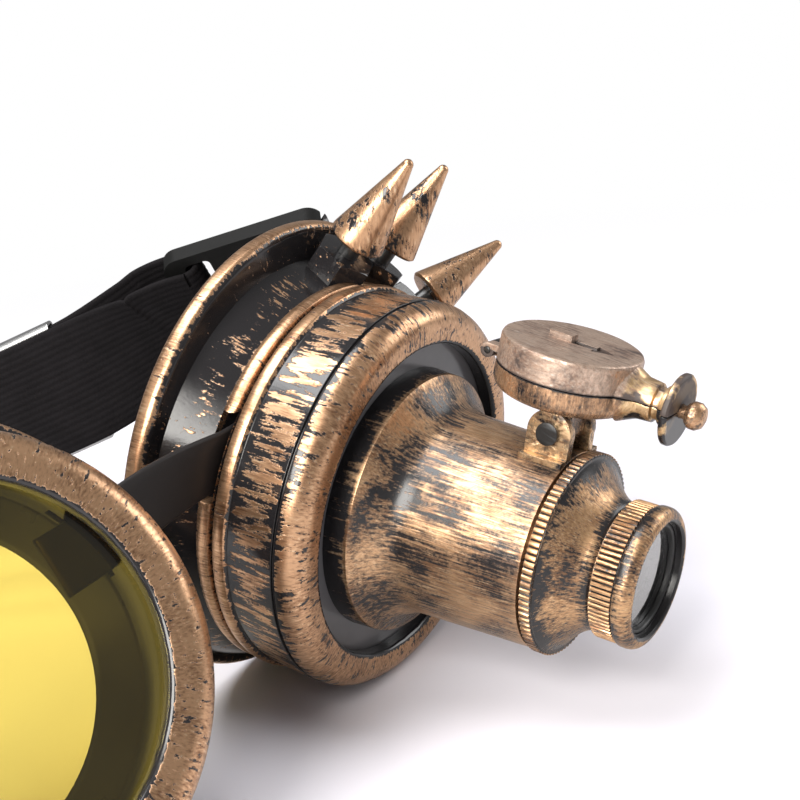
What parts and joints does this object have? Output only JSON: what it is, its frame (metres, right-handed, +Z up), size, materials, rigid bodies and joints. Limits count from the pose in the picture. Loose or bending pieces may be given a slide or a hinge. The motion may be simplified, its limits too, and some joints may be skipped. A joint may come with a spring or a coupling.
{
  "type": "steampunk goggles",
  "caption": "Costume goggles with two flared copper cups on a short bridge strap, one with a yellow lens, one with a magnifier, pocket compass and spikes, and an elastic head strap.",
  "frame": {"origin": "under the middle of the outline, in the plane of the table that the goggles stand on", "axes": "+Z up from the table, -Y to the front of the goggles, +X to the side of the magnifier"},
  "size_m": [0.1622, 0.1978, 0.0814],
  "materials": {
    "copper_paint": "copper coloured, brushed on over glossy black",
    "lilac_bronze": "brushed bronze colour with a lilac cast",
    "black_gloss": "glossy black",
    "grey_gloss": "glossy dark grey",
    "black_matte": "black",
    "steel": "plain steel",
    "chrome_clip": "bright folded sheet",
    "clear_lens": "clear",
    "yellow_lens": "clear yellow",
    "rubber_black": "black",
    "dial_ivory": "ivory",
    "pivot_brass": "turned",
    "needle_paint": "thin steel needle, one half red",
    "elastic_black": "woven black elastic"
  },
  "bodies": {
    "loupe_cup": {"loupe_cup_shell": "copper_paint", "spike_screws": "steel", "spike_nuts": "black_gloss", "spikes": "copper_paint", "insert_disc": "grey_gloss", "loupe_barrel": "copper_paint", "barrel_ring_nut": "black_matte", "field_lens": "clear_lens", "compass_bracket": "copper_paint", "tilt_pin": "steel", "bridge_strap": "rubber_black", "elastic_strap": "elastic_black", "tail_clip": "chrome_clip"},
    "loupe_ring": {"loupe_front_ring": "copper_paint"},
    "focus": {"focus_collar": "copper_paint"},
    "eyepiece": {"eyepiece_ring": "copper_paint", "eyepiece_lens": "clear_lens", "eyepiece_retainer": "black_matte"},
    "compass_case": {"compass_base": "copper_paint", "compass_dial": "dial_ivory", "needle_pivot": "pivot_brass", "compass_glass": "clear_lens", "lid_hinge_pin": "steel"},
    "compass_top": {"compass_lid": "lilac_bronze"},
    "needle": {"compass_needle": "needle_paint"},
    "crown_button": {"crown": "copper_paint"},
    "lens_cup": {"lens_cup_shell": "copper_paint", "yellow_lens": "yellow_lens", "lens_gasket": "rubber_black"},
    "lens_ring": {"lens_front_ring": "copper_paint"},
    "loupe_buckle_body": {"loupe_buckle": "black_gloss"},
    "lens_buckle_body": {"lens_buckle": "black_gloss"}
  },
  "joints": [
    {"name": "loupe_ring_turn", "type": "hinge", "parent": "loupe_cup", "child": "loupe_ring", "pos_m": [0.03796, -0.05276, 0.03026], "axis": [0.1859, -0.9655, -0.1822], "continuous": true},
    {"name": "lens_ring_turn", "type": "hinge", "parent": "lens_cup", "child": "lens_ring", "pos_m": [-0.04453, -0.06312, 0.04395], "axis": [-0.1685, -0.8777, 0.4485], "continuous": true},
    {"name": "focus_turn", "type": "hinge", "parent": "loupe_cup", "child": "focus", "pos_m": [0.03796, -0.05276, 0.03026], "axis": [0.1859, -0.9655, -0.1822], "range_deg": [-170, 170]},
    {"name": "eyepiece_turn", "type": "hinge", "parent": "focus", "child": "eyepiece", "pos_m": [0.03796, -0.05276, 0.03026], "axis": [0.1859, -0.9655, -0.1822], "range_deg": [-90, 90]},
    {"name": "compass_tilt", "type": "hinge", "parent": "loupe_cup", "child": "compass_case", "pos_m": [0.04621, -0.07742, 0.04365], "axis": [0.9577, 0.2195, -0.1859], "range_deg": [-20, 20]},
    {"name": "lid_open", "type": "hinge", "parent": "compass_case", "child": "compass_top", "pos_m": [0.04603, -0.06706, 0.05493], "axis": [-0.9577, -0.2195, 0.1859], "range_deg": [0, 95]},
    {"name": "needle_spin", "type": "hinge", "parent": "compass_case", "child": "needle", "pos_m": [0.04799, -0.07819, 0.0519], "axis": [0.2337, -0.2169, 0.9478], "continuous": true},
    {"name": "crown_press", "type": "slide", "parent": "compass_case", "child": "crown_button", "axis": [0.1677, -0.9512, -0.2591], "range_m": [-0.0008, 0], "stiffness_N_per_m": 300, "springref_m": 0.0005},
    {"name": "bridge_fold", "type": "hinge", "parent": "loupe_cup", "child": "lens_cup", "pos_m": [-0.00029, -0.04603, 0.035], "axis": [0, 0, 1], "range_deg": [-20, 25], "deforming": ["bridge_strap", "elastic_strap"]},
    {"name": "loupe_buckle_swing", "type": "hinge", "parent": "loupe_cup", "child": "loupe_buckle_body", "pos_m": [0.064, -0.0125, 0.05751], "axis": [0.4867, 0.2516, -0.8366], "range_deg": [-20, 20], "deforming": ["elastic_strap"]},
    {"name": "lens_buckle_swing", "type": "hinge", "parent": "lens_cup", "child": "lens_buckle_body", "pos_m": [-0.06881, -0.0136, 0.04477], "axis": [0.588, 0.2757, 0.7604], "range_deg": [-20, 20], "deforming": ["elastic_strap"]}
  ]
}
